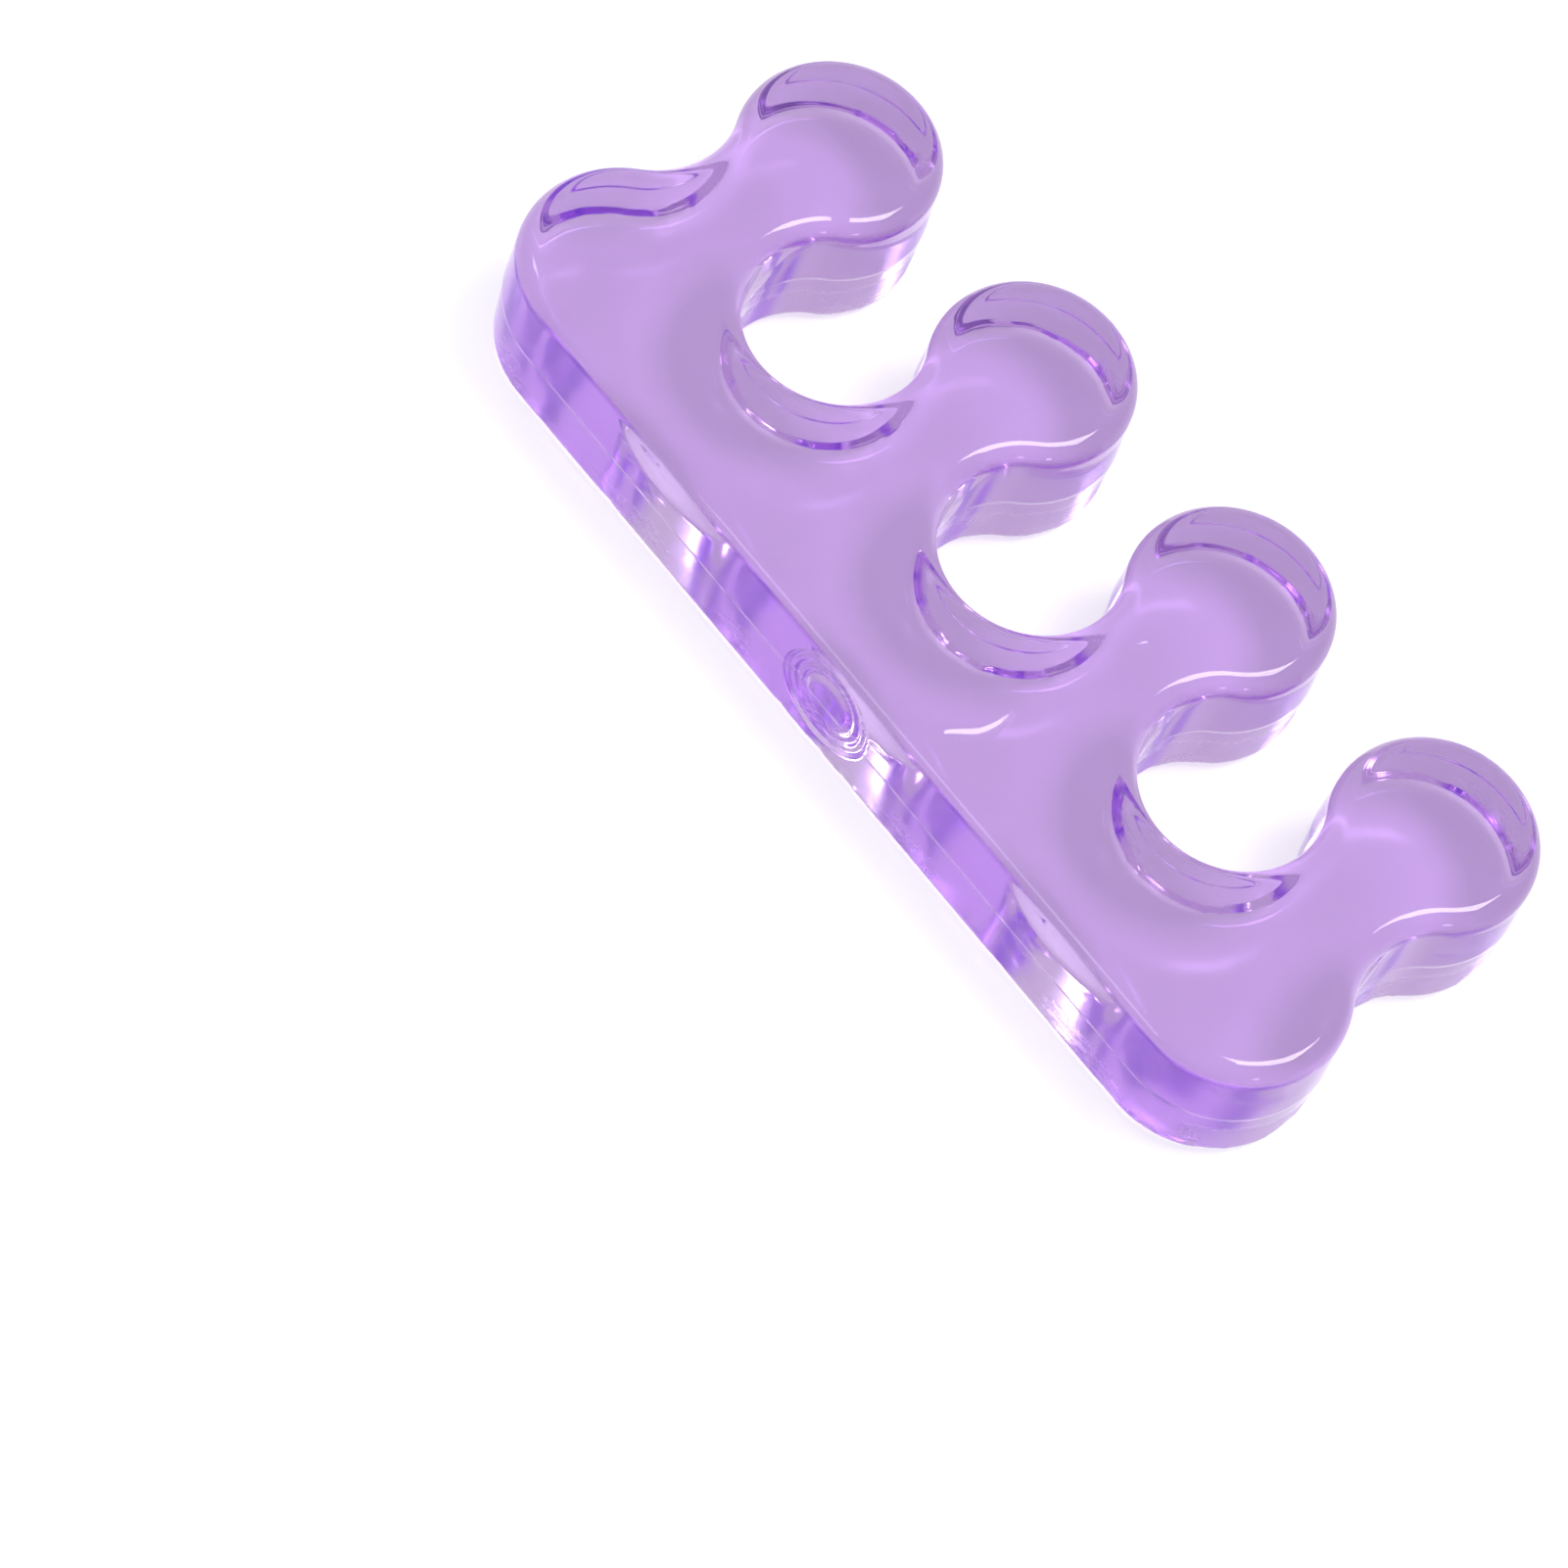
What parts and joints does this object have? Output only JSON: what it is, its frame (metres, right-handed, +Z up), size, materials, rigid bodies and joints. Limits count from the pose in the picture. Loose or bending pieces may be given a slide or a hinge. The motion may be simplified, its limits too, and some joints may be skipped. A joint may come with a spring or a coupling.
{
  "type": "toe separator",
  "caption": "One-piece clear gel toe separator: a straight spine with a row of round lobes, round-floored toe gaps between them and a shallow dip at each end.",
  "frame": {"origin": "centre of the footprint, on the flat underside", "axes": "+X along the spine, +Y from the spine to the lobe tips, +Z up from the underside"},
  "size_m": [0.09, 0.0378, 0.0128],
  "materials": {
    "gel": "glossy, see-through soft gel"
  },
  "bodies": {
    "root": {"toe_separator": "gel"}
  },
  "joints": []
}
